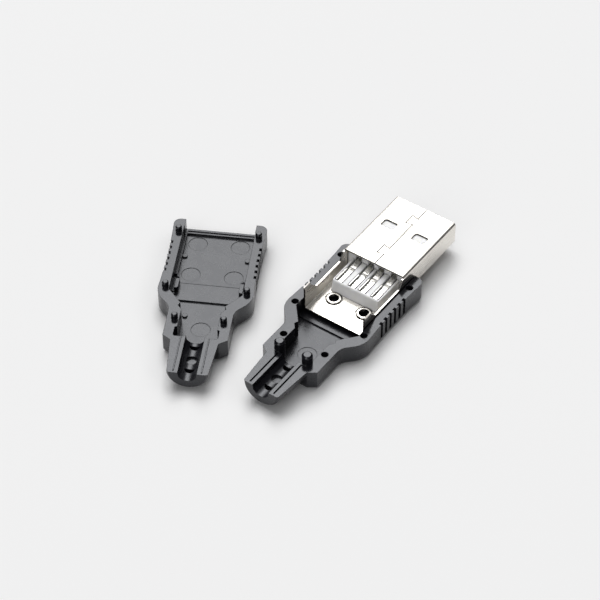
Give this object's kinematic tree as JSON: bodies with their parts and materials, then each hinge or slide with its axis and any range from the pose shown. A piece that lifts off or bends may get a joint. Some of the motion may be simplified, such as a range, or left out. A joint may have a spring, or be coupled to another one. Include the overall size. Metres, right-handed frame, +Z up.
{
  "type": "usb-a plug",
  "caption": "Solder-type cable plug: a metal shell with its plastic core and contacts seated in one housing half, the other half lying open beside it.",
  "frame": {"origin": "on the floor, in the lower half's flat underside, below the middle of the line through the two front locating holes", "axes": "+X toward the mating end, +Y to the left seen from the cable end, +Z up through the open half"},
  "size_m": [0.0534, 0.0426, 0.0064],
  "materials": {
    "housing": "satin black moulding",
    "plated_steel": "bright nickel plate",
    "core_plastic": "milky white moulding",
    "contact_metal": "bright tin plate over copper alloy"
  },
  "bodies": {
    "root": {"base_shell": "housing", "cover_shell": "housing", "metal_shell": "plated_steel", "insulator": "core_plastic", "contact_vbus": "contact_metal", "contact_data_minus": "contact_metal", "contact_data_plus": "contact_metal", "contact_ground": "contact_metal"}
  },
  "joints": []
}
